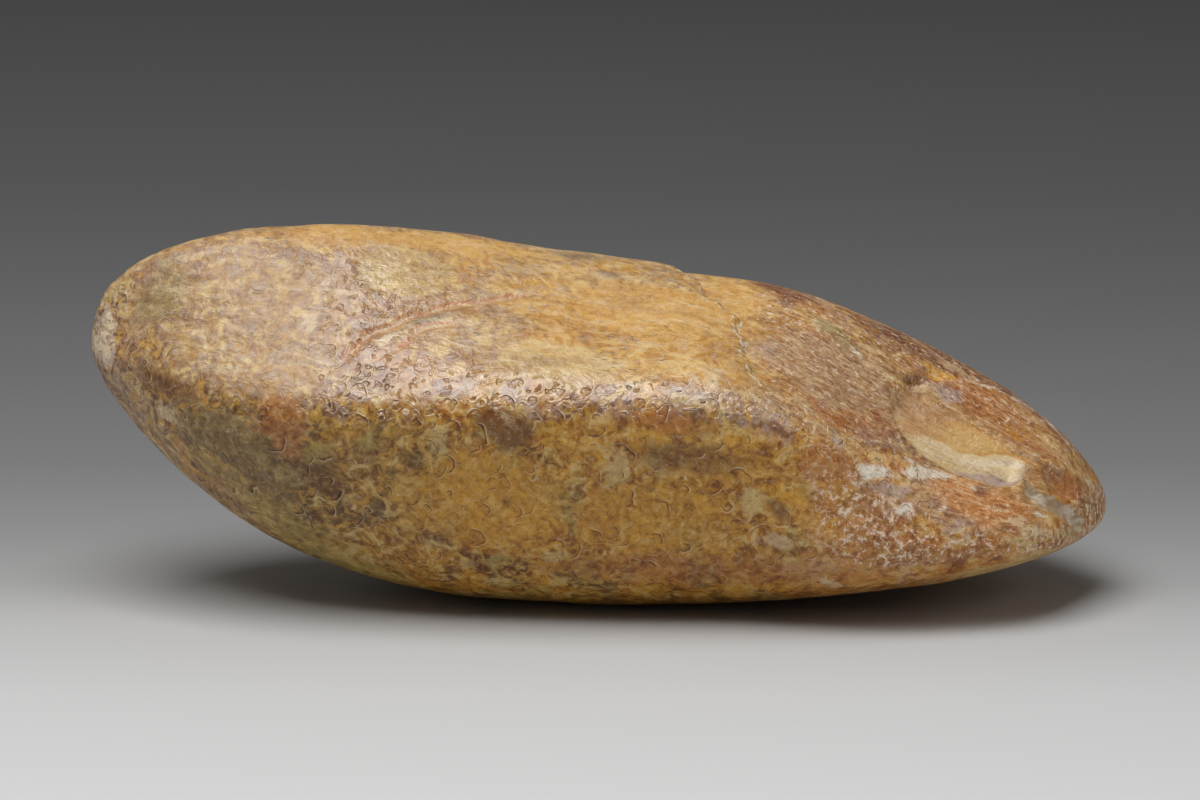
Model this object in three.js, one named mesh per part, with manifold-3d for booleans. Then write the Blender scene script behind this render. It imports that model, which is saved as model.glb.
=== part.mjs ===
import * as THREE from 'three';
import { mergeVertices } from 'three/addons/utils/BufferGeometryUtils.js';
import Module from 'manifold-3d';

// A hand pestle: one long river cobble of veined jasper, worn smooth by water and by use, with a
// blunt end that leans up, a thin, broad, flaked end near the ground and a belly rubbed flat.
// Millimetres. +X runs from the blunt end to the thin end, +Y away from the worn shoulder, +Z up.

const LENGTH = 120;
const RINGS = 96;
const COLUMNS = 46;
const SECTION_STEPS = 180;

// How high the two ends of the stone are.
const BLUNT_END_HEIGHT = 29.9;
const THIN_END_HEIGHT = 10.2;

// How the stone fills out between its ends. `along` runs from 0 at the blunt end to 1 at the thin
// end. The fullness above, below, in front of and behind the line between the ends is in millimetres
// and would be the half size of an egg-shaped stone. `lean` is how many degrees its upper faces
// turn towards the front. `rise` is how many degrees its front face turns up, and `bevel` is how far
// that face is worn in, where 1 is the full width: both belong to the broad, thin end.
const STATIONS = [
  { along: 0.00, above: 28.8, below: 17.9, before: 20, behind: 20, lean: 45.1, rise: 0, bevel: 0 },
  { along: 0.06, above: 25.2, below: 22.3, before: 24.5, behind: 21.5, lean: 34.6, rise: 0, bevel: 0 },
  { along: 0.16, above: 23.3, below: 24.8, before: 26.5, behind: 22, lean: 25.5, rise: 0, bevel: 0 },
  { along: 0.31, above: 21.1, below: 24, before: 25, behind: 21.5, lean: 12.9, rise: 0, bevel: 0 },
  { along: 0.50, above: 19.5, below: 20.5, before: 24, behind: 21.5, lean: 1.8, rise: 0, bevel: 0 },
  { along: 0.62, above: 20.5, below: 18.4, before: 25, behind: 22, lean: -0.6, rise: 0, bevel: 0 },
  { along: 0.72, above: 21.4, below: 16.2, before: 27, behind: 23.5, lean: 9.4, rise: 16.3, bevel: 0.02 },
  { along: 0.84, above: 20.6, below: 13.9, before: 30.5, behind: 27, lean: 18.9, rise: 44.3, bevel: 0.09 },
  { along: 0.94, above: 20.6, below: 10.9, before: 33.5, behind: 30, lean: 31.7, rise: 50.5, bevel: 0.11 },
  { along: 1.00, above: 17.6, below: 9.9, before: 22, behind: 18, lean: 42.2, rise: 45.7, bevel: 0.1 },
];

// Wear has left seven soft faces round the stone. Each has the direction it faces, in degrees from
// straight up towards the front, its distance from the middle where 1 is the full width, and the
// shares of the lean, the rise and the bevel that it takes. The edge between the broad top and the
// front is the shoulder.
const FACES = {
  top: { facing: 23, reach: 0.86, leans: 1, rises: 0, bevels: 0 },
  front: { facing: 98, reach: 0.9, leans: 0.8, rises: 1, bevels: 1 },
  lowerFront: { facing: 141, reach: 0.97, leans: 0.4, rises: 0.3, bevels: -0.5 },
  belly: { facing: 180, reach: 0.9, leans: 0, rises: 0, bevels: 0 },
  lowerBack: { facing: 222, reach: 0.98, leans: 0, rises: 0, bevels: 0 },
  back: { facing: 264, reach: 0.96, leans: 0, rises: 0, bevels: 0 },
  upperBack: { facing: 316, reach: 0.97, leans: 0.4, rises: 0, bevels: 0 },
};
const EDGE_SHARPNESS = 8;

// The columns stand closest on the upper front, where the scars and the shoulder are, and the rings
// closest at the thin end.
const CLOSEST_COLUMN = THREE.MathUtils.degToRad(40);
const COLUMN_CROWDING = 0.5;
const RING_CROWDING = 0.35;

// A healed fracture crosses the top. The stone on its thin-end side lies a little lower.
const FRACTURE = {
  line: points([6, 9, 37], [9, 2.9, 38.3], [10.9, -1.6, 37.1], [14.4, -7.2, 34.8], [16.7, -12.2, 32.7],
    [19.3, -20.6, 28.5]),
  downhill: new THREE.Vector3(0.9, 0.43, 0),
  drop: 0.8,
  lip: 0.9,
  run: 9,
};

// The thin end has lost flakes: a broad scar, the scoop of a later flake under a raised edge, and a
// deep notch at the top of that edge.
const THINNING = new THREE.Vector3(0.89, 0.02, -0.45).normalize();
const BROAD_SCAR = {
  centre: point(33.8, -14.8, 25.8),
  along: THINNING,
  halfLength: 17,
  halfWidth: 8,
  depth: 1.1,
};
const FLAKE_SCOOP = {
  centre: point(42.5, -14.6, 20.3),
  along: THINNING,
  halfLength: 8.5,
  halfWidth: 3.2,
  depth: 0.7,
};
const FLAKE_EDGE = {
  line: points([37, -9.8, 26.8], [39, -10.2, 25.5], [41.6, -10.7, 23.8], [46.8, -11.3, 20.8]),
  downhill: new THREE.Vector3(-0.26, -0.84, -0.47),
  drop: 0.7,
  lip: 0.9,
  run: 4,
};
const NOTCH = {
  centre: point(37.5, -8.9, 27),
  along: new THREE.Vector3(0.9, 0.31, -0.31).normalize(),
  halfLength: 2.4,
  halfWidth: 1.3,
  depth: 1.1,
};

// At the very tip there is a thumb-sized hollow, a flute below it and a worn lip between them.
const TIP_HOLLOW = {
  centre: point(53.6, -10.8, 15.7),
  along: new THREE.Vector3(0.69, 0.43, -0.58).normalize(),
  halfLength: 3.2,
  halfWidth: 2,
  depth: 0.8,
};
const TIP_FLUTE = {
  line: points([49.1, -15.4, 15.9], [51.7, -14.6, 14.2], [54.2, -12.9, 12.1], [56.9, -8.9, 9.3]),
  halfWidth: 1.3,
  depth: 0.6,
};

// A shallow curved crease on the top, and a hollow with a worn knob below it at the blunt end.
const CREASE = {
  line: points([-31.4, -19.3, 29.9], [-26.4, -15.2, 33.8], [-19.9, -11.8, 36.1], [-12.9, -9.1, 37.1],
    [-6, -7, 37.3]),
  halfWidth: 1.1,
  depth: 0.35,
};
const BLUNT_HOLLOW = {
  centre: point(-52.2, -12, 26.1),
  along: new THREE.Vector3(0.72, -0.62, -0.31).normalize(),
  halfLength: 4,
  halfWidth: 2.6,
  depth: 0.6,
};
const BLUNT_KNOB = {
  ...BLUNT_HOLLOW,
  centre: point(-50.3, -11.1, 21.4),
  halfLength: 2.4,
  halfWidth: 1.8,
  depth: -0.4,
};

const BELL_FALL = 1.4;
const CHAIN_FADE = 8;
const CUT_DEPTH = 10;

const JASPER = { color: 0xa9793f, roughness: 0.36, metalness: 0 };

const STATION_VALUES = ['above', 'below', 'before', 'behind', 'lean', 'rise', 'bevel'];
const fullness = new THREE.CubicInterpolant(
  STATIONS.map((station) => station.along),
  STATIONS.flatMap((station) => STATION_VALUES.map((name) => station[name])),
  STATION_VALUES.length,
);

function point(x, y, z) {
  return new THREE.Vector3(x, y, z);
}

function points(...places) {
  return places.map((place) => point(...place));
}

// The worn section: how far from the middle its rounded outline lies in a direction. Each face that
// looks that way holds the outline in, and a high power makes the edges between them soft.
function reachOfSection(around, { lean, rise, bevel }) {
  let held = 0;
  for (const { facing, reach, leans, rises, bevels } of Object.values(FACES)) {
    const square = Math.cos(around - THREE.MathUtils.degToRad(facing + leans * lean - rises * rise));
    held += (Math.max(0, square) / (reach - bevels * bevel)) ** EDGE_SHARPNESS;
  }
  return held ** (-1 / EDGE_SHARPNESS);
}

function sectionPoint(around, turning) {
  const reach = reachOfSection(around, turning);
  return new THREE.Vector2(-reach * Math.sin(around), reach * Math.cos(around));
}

// One section of the stone: the four limits that its outline touches at this place along the stone,
// and the box of the plain worn section that is stretched to them.
function sectionAt(along) {
  const [above, below, before, behind, lean, rise, bevel] = fullness.evaluate(along);
  const turning = { lean, rise, bevel };
  const swell = 2 * Math.sqrt(along * (1 - along));
  const height = THREE.MathUtils.lerp(BLUNT_END_HEIGHT, THIN_END_HEIGHT, along);
  const limits = new THREE.Box2(
    new THREE.Vector2(-swell * before, height - swell * below),
    new THREE.Vector2(swell * behind, height + swell * above),
  );
  const plain = new THREE.Box2();
  for (let step = 0; step < SECTION_STEPS; step += 1) {
    plain.expandByPoint(sectionPoint((2 * Math.PI * step) / SECTION_STEPS, turning));
  }
  return { along, turning, limits, plain };
}

function pointOnStone({ along, turning, limits, plain }, around) {
  const { x, y } = sectionPoint(around, turning);
  return point(
    (along - 0.5) * LENGTH,
    THREE.MathUtils.mapLinear(x, plain.min.x, plain.max.x, limits.min.x, limits.max.x),
    THREE.MathUtils.mapLinear(y, plain.min.y, plain.max.y, limits.min.y, limits.max.y),
  );
}

// A dish pressed into the stone, an oval that fades out like a bell. A negative depth is a knob.
function dish(place, { centre, along, halfLength, halfWidth, depth }) {
  const offset = place.clone().sub(centre);
  const lengthwise = offset.dot(along);
  const crosswiseSquared = offset.lengthSq() - lengthwise ** 2;
  return depth * Math.exp(-BELL_FALL * ((lengthwise / halfLength) ** 2 + crosswiseSquared / halfWidth ** 2));
}

// The nearest place on a chain of points, how far off it is, and a weight that fades at both ends.
function nearestOnChain(place, line) {
  const nearest = { distance: Infinity, offset: point(0, 0, 0), weight: 0 };
  for (let index = 0; index < line.length - 1; index += 1) {
    const stretch = new THREE.Line3(line[index], line[index + 1]);
    const share = stretch.closestPointToPointParameter(place, true);
    const offset = place.clone().sub(stretch.at(share, point(0, 0, 0)));
    if (offset.length() < nearest.distance) {
      const run = (index + share) / (line.length - 1);
      nearest.distance = offset.length();
      nearest.offset = offset;
      nearest.weight = Math.min(1, CHAIN_FADE * run * (1 - run));
    }
  }
  return nearest;
}

// A rounded furrow along a chain of points.
function furrow(place, { line, halfWidth, depth }) {
  const { distance, weight } = nearestOnChain(place, line);
  return depth * weight * Math.exp(-((distance / halfWidth) ** 2));
}

// A step down along a chain of points: steep within its lip, then rising back over its run.
function scarp(place, { line, downhill, drop, lip, run }) {
  const { distance, offset, weight } = nearestOnChain(place, line);
  if (offset.dot(downhill) <= 0) {
    return 0;
  }
  return drop * weight * (1 - Math.exp(-((distance / lip) ** 2))) * Math.exp(-distance / run);
}

function depthOfRelief(place) {
  const dishes = [BROAD_SCAR, FLAKE_SCOOP, NOTCH, TIP_HOLLOW, BLUNT_HOLLOW, BLUNT_KNOB];
  const furrows = [TIP_FLUTE, CREASE];
  const scarps = [FRACTURE, FLAKE_EDGE];
  return dishes.reduce((sum, shape) => sum + dish(place, shape), 0)
    + furrows.reduce((sum, shape) => sum + furrow(place, shape), 0)
    + scarps.reduce((sum, shape) => sum + scarp(place, shape), 0);
}

// The whole cobble before its belly was rubbed flat. A ball is drawn out into the stone: its rings
// become the sections, and each of its points is carried out to the worn skin.
function cobbleGeometry() {
  const ball = new THREE.SphereGeometry(1, COLUMNS, RINGS);
  ball.deleteAttribute('normal');
  ball.deleteAttribute('uv');
  const geometry = mergeVertices(ball);
  const skin = geometry.getAttribute('position');
  for (let index = 0; index < skin.count; index += 1) {
    const onBall = point(0, 0, 0).fromBufferAttribute(skin, index);
    const latitude = Math.acos(THREE.MathUtils.clamp(onBall.y, -1, 1));
    const turn = Math.atan2(onBall.z, onBall.x) - CLOSEST_COLUMN;
    const along = (1 - Math.cos(latitude + RING_CROWDING * Math.sin(latitude))) / 2;
    const around = CLOSEST_COLUMN + turn - COLUMN_CROWDING * Math.sin(turn);
    const place = pointOnStone(sectionAt(along), around);
    skin.setXYZ(index, ...place.toArray());
  }
  geometry.computeVertexNormals();
  const outward = geometry.getAttribute('normal');
  for (let index = 0; index < skin.count; index += 1) {
    const place = point(0, 0, 0).fromBufferAttribute(skin, index);
    const normal = point(0, 0, 0).fromBufferAttribute(outward, index);
    place.addScaledVector(normal, -depthOfRelief(place));
    skin.setXYZ(index, ...place.toArray());
  }
  geometry.deleteAttribute('normal');
  geometry.computeBoundingBox();
  const middle = geometry.boundingBox.getCenter(point(0, 0, 0));
  return geometry.translate(-middle.x, -middle.y, 0);
}

function asSolid(wasm, geometry) {
  const vertProperties = new Float32Array(geometry.getAttribute('position').array);
  const triVerts = new Uint32Array(geometry.getIndex().array);
  return new wasm.Manifold(new wasm.Mesh({ numProp: 3, vertProperties, triVerts }));
}

function asGeometry(solid) {
  const { vertProperties, triVerts } = solid.getMesh();
  const geometry = new THREE.BufferGeometry();
  geometry.setAttribute('position', new THREE.BufferAttribute(vertProperties, 3));
  geometry.setIndex(new THREE.BufferAttribute(triVerts, 1));
  geometry.computeVertexNormals();
  return geometry;
}

// The slab of stone that rubbing took off the belly, down from the level that the pestle lies at.
function rubbedAwayGeometry() {
  const slab = new THREE.BoxGeometry(2 * LENGTH, LENGTH, CUT_DEPTH);
  slab.deleteAttribute('normal');
  slab.deleteAttribute('uv');
  return mergeVertices(slab).translate(0, 0, -CUT_DEPTH / 2);
}

function pestleStone(wasm) {
  const solid = asSolid(wasm, cobbleGeometry()).subtract(asSolid(wasm, rubbedAwayGeometry()));
  const mesh = new THREE.Mesh(asGeometry(solid), new THREE.MeshStandardMaterial(JASPER));
  mesh.name = 'pestle_stone';
  return mesh;
}

const wasm = await Module();
wasm.setup();

const pestle = new THREE.Group();
pestle.add(pestleStone(wasm));

export default pestle;
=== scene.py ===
import math

import bpy
import numpy as np
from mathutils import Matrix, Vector


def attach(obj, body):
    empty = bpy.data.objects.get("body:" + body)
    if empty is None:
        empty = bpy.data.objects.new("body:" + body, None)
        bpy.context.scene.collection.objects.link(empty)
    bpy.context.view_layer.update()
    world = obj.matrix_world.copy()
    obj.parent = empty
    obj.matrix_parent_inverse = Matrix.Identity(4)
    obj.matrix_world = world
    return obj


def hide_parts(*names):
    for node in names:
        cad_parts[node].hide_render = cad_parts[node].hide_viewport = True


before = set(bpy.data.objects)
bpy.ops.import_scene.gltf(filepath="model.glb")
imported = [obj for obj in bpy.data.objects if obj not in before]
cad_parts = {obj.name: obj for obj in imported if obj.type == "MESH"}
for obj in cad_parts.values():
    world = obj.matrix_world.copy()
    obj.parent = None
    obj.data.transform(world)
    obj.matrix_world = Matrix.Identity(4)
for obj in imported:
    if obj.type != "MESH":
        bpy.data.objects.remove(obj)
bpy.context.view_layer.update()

# The stone: one long river cobble of veined jasper, worn to soft faces by water and by use.
# It was never cut to shape. Its thin end has lost flakes, a healed fracture crosses its top,
# the marks of blows cover it, and its belly is rubbed flat where it lies.

MM = 0.001
LENGTH = 120.0
RINGS = 420
COLUMNS = 234

# Along the stone from the blunt end, 0, to the thin end, 1: its fullness above, below, before and
# behind the line between its two ends, in millimetres, how many degrees its upper faces lean and its
# front face rises, and how far that face is worn in, where 1 is the full width.
STATION_COLUMNS = ("along", "above", "below", "before", "behind", "lean", "rise", "bevel")
STATIONS = np.array([
    (0.00, 28.8, 17.9, 20.0, 20.0, 45.1, 0.0, 0.0),
    (0.06, 25.2, 22.3, 24.5, 21.5, 34.6, 0.0, 0.0),
    (0.16, 23.3, 24.8, 26.5, 22.0, 25.5, 0.0, 0.0),
    (0.31, 21.1, 24.0, 25.0, 21.5, 12.9, 0.0, 0.0),
    (0.50, 19.5, 20.5, 24.0, 21.5, 1.8, 0.0, 0.0),
    (0.62, 20.5, 18.4, 25.0, 22.0, -0.6, 0.0, 0.0),
    (0.72, 21.4, 16.2, 27.0, 23.5, 9.4, 16.3, 0.02),
    (0.84, 20.6, 13.9, 30.5, 27.0, 18.9, 44.3, 0.09),
    (0.94, 20.6, 10.9, 33.5, 30.0, 31.7, 50.5, 0.11),
    (1.00, 17.6, 9.9, 22.0, 18.0, 42.2, 45.7, 0.10),
])
BLUNT_END_HEIGHT = 29.9
THIN_END_HEIGHT = 10.2

# The seven worn faces: the degrees that each faces from straight up towards the front, its distance
# from the middle where 1 is the full width, and the shares of the lean, rise and bevel that it takes.
FACES = {
    "top": (23, 0.86, 1.0, 0.0, 0.0),
    "front": (98, 0.9, 0.8, 1.0, 1.0),
    "lower front": (141, 0.97, 0.4, 0.3, -0.5),
    "belly": (180, 0.9, 0.0, 0.0, 0.0),
    "lower back": (222, 0.98, 0.0, 0.0, 0.0),
    "back": (264, 0.96, 0.0, 0.0, 0.0),
    "upper back": (316, 0.97, 0.4, 0.0, 0.0),
}
EDGE_SHARPNESS = 8
# The grid's columns crowd towards the shoulder, 55 degrees round, and its rings towards the thin end.
CLOSEST_COLUMN = math.radians(55)
COLUMN_CROWDING = 0.45
RING_CROWDING = 0.3


def through_stations(along, name):
    """One column of the stations as a smooth curve: a cubic between each two stations, whose slope
    at a station is that of the straight line between the stations on either side of it."""
    at = STATIONS[:, 0]
    value = STATIONS[:, STATION_COLUMNS.index(name)]
    slope = np.empty_like(value)
    slope[1:-1] = (value[2:] - value[:-2]) / (at[2:] - at[:-2])
    slope[0] = 1.5 * (value[1] - value[0]) / (at[1] - at[0]) - 0.5 * slope[1]
    slope[-1] = 1.5 * (value[-1] - value[-2]) / (at[-1] - at[-2]) - 0.5 * slope[-2]
    k = np.clip(np.searchsorted(at, along) - 1, 0, len(at) - 2)
    gap = at[k + 1] - at[k]
    t = (along - at[k]) / gap
    return ((1 + 2 * t) * (1 - t) ** 2 * value[k] + t * (1 - t) ** 2 * gap * slope[k]
            + t * t * (3 - 2 * t) * value[k + 1] + t * t * (t - 1) * gap * slope[k + 1])


def worn_section(along, around):
    """The plain section: in each direction its reach is the sum over the faces of (cosine of the
    angle to the face, over the face's distance) to a high power, taken to the minus one over it."""
    lean, rise, bevel = (through_stations(along, name) for name in ("lean", "rise", "bevel"))
    held = 0.0
    for facing, reach, leans, rises, bevels in FACES.values():
        square = np.cos(around - np.radians(facing + leans * lean - rises * rise))
        held = held + (np.maximum(0.0, square) / (reach - bevels * bevel)) ** EDGE_SHARPNESS
    reach = held ** (-1.0 / EDGE_SHARPNESS)
    return -reach * np.sin(around), reach * np.cos(around)


def cobble(along, around):
    """The stone's plain skin: at each place along it the worn section is stretched between four
    lines, which swell out from the line between the ends like an ellipse, twice the root of along
    times one less along, times the fullness there."""
    swell = 2 * np.sqrt(along * (1 - along))
    height = BLUNT_END_HEIGHT + (THIN_END_HEIGHT - BLUNT_END_HEIGHT) * along
    outline_y, outline_z = worn_section(along, np.linspace(0, 2 * np.pi, 361)[None, :])
    y, z = worn_section(along, around)
    low_y, high_y = outline_y.min(1, keepdims=True), outline_y.max(1, keepdims=True)
    low_z, high_z = outline_z.min(1, keepdims=True), outline_z.max(1, keepdims=True)
    front = -swell * through_stations(along, "before")
    back = swell * through_stations(along, "behind")
    keel = height - swell * through_stations(along, "below")
    crest = height + swell * through_stations(along, "above")
    y = front + (back - front) * (y - low_y) / (high_y - low_y)
    z = keel + (crest - keel) * (z - low_z) / (high_z - low_z)
    x = (along - 0.5) * LENGTH + 0 * y
    return np.stack([x, y, z], -1)


latitude = np.linspace(0, np.pi, RINGS + 2)[1:-1, None]
turn = np.linspace(0, 2 * np.pi, COLUMNS, endpoint=False)[None, :] - CLOSEST_COLUMN
along = (1 - np.cos(latitude + RING_CROWDING * np.sin(latitude))) / 2
around = CLOSEST_COLUMN + turn - COLUMN_CROWDING * np.sin(turn)
skin = cobble(along, around)
ends = cobble(np.array([[1e-9], [1 - 1e-9]]), np.zeros((1, 1)))[:, 0]


def outward(skin):
    """The unit normals of a skin on the grid: its slope along crossed with its slope around."""
    lengthwise = np.gradient(skin, axis=0)
    sideways = (np.roll(skin, -1, 1) - np.roll(skin, 1, 1)) / 2
    normal = np.cross(sideways, lengthwise)
    return normal / np.linalg.norm(normal, axis=-1, keepdims=True)


normal = outward(skin)


def scatter(cell, seed):
    """A fixed scatter of values from 0 to 1, one for each whole-number cell of space: the cell's
    three numbers and the seed are each multiplied by a large odd number, added and stirred."""
    mixed = cell[..., 0] * 374761393 + cell[..., 1] * 668265263 + cell[..., 2] * 1440662683
    mixed = mixed + seed * 974634777
    mixed = ((mixed & 0xFFFFFFFF) ^ ((mixed & 0xFFFFFFFF) >> 13)) * 1274126177 & 0xFFFFFFFF
    return ((mixed ^ (mixed >> 16)) & 0xFFFF) / 65535.0


def drift(places, size, seed):
    """Smooth noise from -1 to 1: scatter values at the corners of cells of the given size, blended
    across each cell by the ease curve six t to the fifth less fifteen to the fourth plus ten cubed."""
    scaled = places / size + 0.37 * seed
    corner = np.floor(scaled).astype(np.int64)
    t = scaled - corner
    ease = t * t * t * (t * (6 * t - 15) + 10)
    total = 0.0
    for step in np.ndindex(2, 2, 2):
        share = np.prod(np.where(np.array(step), ease, 1 - ease), axis=-1)
        total = total + share * scatter(corner + np.array(step), seed)
    return 2 * total - 1


def layered(places, size, seed, layers=3, fade=0.55):
    """Drift at the given size, plus drift at half the size and a fade times the strength, and so on."""
    return sum(fade ** n * drift(places, size / 2 ** n, seed + n) for n in range(layers))


def ramp(value, low, high):
    """From 0 at low to 1 at high, easing in and out: three t squared less two t cubed."""
    t = np.clip((value - low) / (high - low), 0, 1)
    return t * t * (3 - 2 * t)


# What use, frost and blows have taken from the stone. All places are in millimetres, and a depth below
# 0 stands out.
THINNING = (0.89, 0.02, -0.45)
HOLLOWS = (
    # centre, lies along, half length, half width, depth, steepness of its wall
    ((33.8, -14.8, 25.8), THINNING, 17, 8, 1.0, 1),                     # broad scar
    ((36.9, -8.9, 27.4), (0.9, 0.31, -0.31), 1.5, 0.8, 1.2, 1.6),       # notch
    ((-52.2, -12, 26.1), (0.72, -0.62, -0.31), 4, 2.6, 0.6, 1.3),       # hollow at the blunt end
    ((-50.3, -11.1, 21.4), (0.75, -0.57, -0.34), 2.4, 1.8, -0.4, 1.2),  # worn knob below it
    ((17.4, -24.1, 20.5), (0.31, 0.07, -0.95), 4.5, 2.2, 0.3, 1.2),     # dent under the shoulder
    ((23.9, -24.2, 16.2), (0.79, 0, -0.61), 7, 1.2, 0.3, 1),            # slanting trough on the front
    ((-11, -22.1, 29.2), (1, 0, 0), 2.6, 1.6, 0.35, 1.5),               # pit in the shoulder
    ((-29.9, -22.2, 25.6), (0.85, 0, 0.53), 4, 2, 0.25, 1.2),           # worn place on the shoulder
)
CHIPS = (
    # centre, lies along, half length, half width, depth
    ((47.6, -8.9, 22.1), (0.85, -0.1, -0.52), 7.0, 3.0, 0.35),          # chip above the later flake
    ((53.8, -10.7, 15.2), (0.69, 0.43, -0.58), 3.3, 2.0, 0.85),         # hollow at the tip
    ((39.4, -6.3, 27.5), (0.93, 0.25, -0.2), 2.2, 0.9, 0.7),            # shelf beside the notch
)
# The later flake, in its own plane: u runs from the notch to the tip and v across, down the front. At
# each u stand the places across of its two edges and of the lines between its bands of colour.
FLAKE_MIDDLE = np.array([41.5, -13.6, 21.8])
FLAKE_U = np.array([0.867, 0.007, -0.499])
FLAKE_V = np.array([-0.263, -0.843, -0.469])
FLAKE_OUTLINE = {
    "u": (-8.8, -8.2, -7.6, -6.6, -5.2, -3.4, -1.2, 1.4, 4.2, 6.8, 8.6, 9.7),
    "upper": (-1.7, -3.4, -3.9, -4.4, -4.5, -4.3, -3.7, -3.5, -3.2, -2.5, -2.6, -1.0),
    "golden": (-1.7, -0.6, 0.1, 0.2, 0.1, -0.6, -2.5, -3.4, -3.2, -2.5, -2.6, -1.0),
    "pale": (-1.7, 0.8, 2.2, 3.2, 2.5, 1.5, 0.4, 0.8, -0.4, -1.9, -2.0, -1.0),
    "shade": (-1.7, 0.9, 2.2, 3.3, 4.4, 4.6, 4.3, 3.9, 2.9, 1.9, 1.2, -1.0),
    "lower": (-1.7, 0.9, 2.2, 3.3, 4.6, 5.2, 5.3, 5.0, 4.5, 3.7, 2.5, -1.0),
}
FLAKE_START, FLAKE_END = -9.6, 9.8
# How deep the flake is, from its upper edge, 0, across to its lower one, 1.
FLAKE_PROFILE = ((0, 0), (0.04, 0.45), (0.28, 0.6), (0.40, 0.9), (0.55, 0.75), (0.66, 0.9), (0.8, 1.25),
                 (0.94, 0.9), (1, 0))
# The lines on the stone: the healed fracture and the way down from it, the flute that runs out at the
# tip, and the crease in the top with its branch.
FRACTURE = ((2, 16, 31.9), (6, 9, 37), (10.5, 1.8, 38), (11.9, -2.2, 36.8), (13, -4.3, 36),
            (15.8, -6.8, 34.7), (16.4, -13, 32.4), (17.9, -18.6, 30), (19.4, -21.1, 28.2))
FRACTURE_DOWNHILL = (0.9, 0.43, 0)
TIP_FLUTE = ((49.1, -15.4, 15.9), (51.7, -14.6, 14.2), (54.2, -12.9, 12.1), (56.9, -8.9, 9.3))
CREASE = ((-31.4, -19.3, 29.9), (-26.4, -15.2, 33.8), (-19.9, -11.8, 36.1), (-12.9, -9.1, 37.1),
          (-6, -7, 37.3))
CREASE_BRANCH = ((-27.4, -18.6, 30.9), (-23.9, -16.8, 32.6), (-19.9, -14.6, 34.3), (-15, -12.9, 35.2))
# What stands for a place far outside a scar or a patch, in millimetres.
FAR_OUTSIDE = -9


def hollow(places, centre, lies_along, half_length, half_width, depth, wall):
    """A soft hollow: its depth times e to the minus 1.4 r, where r is the squared distance from its
    middle in half lengths and half widths, raised to the steepness of its wall."""
    return depth * np.exp(-1.4 * away(places, centre, lies_along, half_length, half_width) ** wall)


def chip(places, centre, lies_along, half_length, half_width, depth):
    """Where a chip came off, shaped like the inside of a shallow bowl with a sharp, wavy rim: its depth
    times one less r, and 0 outside, where r is the squared distance as in a hollow, with some drift."""
    r = away(places, centre, lies_along, half_length, half_width) * (1 + 0.18 * drift(places, 2.2, 14))
    return depth * np.maximum(0, 1 - r)


def away(places, centre, lies_along, half_length, half_width):
    """The squared distance from a centre, lengthwise in half lengths and crosswise in half widths."""
    lies_along = np.array(lies_along) / np.linalg.norm(lies_along)
    offset = places - np.array(centre)
    lengthwise = offset @ lies_along
    crosswise = np.maximum((offset ** 2).sum(-1) - lengthwise ** 2, 0)
    return (lengthwise / half_length) ** 2 + crosswise / half_width ** 2


def flake_line(u, name):
    """One line of the flake's outline: how far across it runs, at each place along the flake."""
    return np.interp(u, FLAKE_OUTLINE["u"], FLAKE_OUTLINE[name])


def flake_scar(places):
    """The flake's hollow: across it the depth follows the profile, from the upper to the lower line,
    and fades towards both ends. Also gives the place in the flake's plane and how far inside it is."""
    wander = np.stack([drift(places, 1.6, 3 + axis) for axis in range(3)], -1)
    offset = places - FLAKE_MIDDLE + 0.25 * wander
    u, v = offset @ FLAKE_U, offset @ FLAKE_V
    upper, lower = flake_line(u, "upper"), flake_line(u, "lower")
    near = (np.abs(u) < FLAKE_END) & (np.linalg.norm(offset, axis=-1) < 12)
    across = np.clip((v - upper) / np.maximum(lower - upper, 0.3), 0, 1)
    shares, depths = zip(*FLAKE_PROFILE)
    fade = ramp(u, FLAKE_START, -6.5) * ramp(u, FLAKE_END, 7.0)
    inside = np.minimum(np.minimum(v - upper, lower - v), 0.6 * (-FLAKE_START - np.abs(u)))
    return near * fade * np.interp(across, shares, depths), u, v, np.where(near, inside, FAR_OUTSIDE)


def nearest_on_chain(places, chain, wander):
    """For each place, the nearest place on a chain of points with a small wander: how far off it is,
    the offset to it, and a weight that fades at both ends as eight times share times one less share."""
    knots = np.linspace(0, 1, len(chain))
    share = np.linspace(0, 1, 8 * len(chain))
    path = np.stack([np.interp(share, knots, np.array(chain, float)[:, axis]) for axis in range(3)], -1)
    path = path + wander * np.stack([layered(path, 2.4, 91 + axis, 2) for axis in range(3)], -1)
    distance = np.full(places.shape[:-1], np.inf)
    offset = np.zeros_like(places)
    weight = np.zeros(places.shape[:-1])
    for n in range(len(path) - 1):
        stretch = path[n + 1] - path[n]
        t = np.clip((places - path[n]) @ stretch / (stretch @ stretch), 0, 1)
        off = places - path[n] - t[..., None] * stretch
        far = np.linalg.norm(off, axis=-1)
        near = far < distance
        run = (n + t) / (len(path) - 1)
        distance = np.where(near, far, distance)
        offset = np.where(near[..., None], off, offset)
        weight = np.where(near, np.minimum(1, 8 * run * (1 - run)), weight)
    return distance, offset, weight


def furrow(places, chain, half_width, depth, wander=0.3):
    """A rounded furrow along a chain: its depth times e to the minus squared distance in half widths."""
    distance, _, weight = nearest_on_chain(places, chain, wander)
    return depth * weight * np.exp(-(distance / half_width) ** 2)


def scarp(places, chain, downhill, drop, lip, run, wander):
    """A step down on one side of a chain: the drop times one less e to the minus squared distance in
    lips, times e to the minus distance in runs, so it is steep at the edge and then rises back."""
    distance, offset, weight = nearest_on_chain(places, chain, wander)
    below = offset @ np.array(downhill) > 0
    return below * weight * drop * (1 - np.exp(-(distance / lip) ** 2)) * np.exp(-distance / run)


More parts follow.
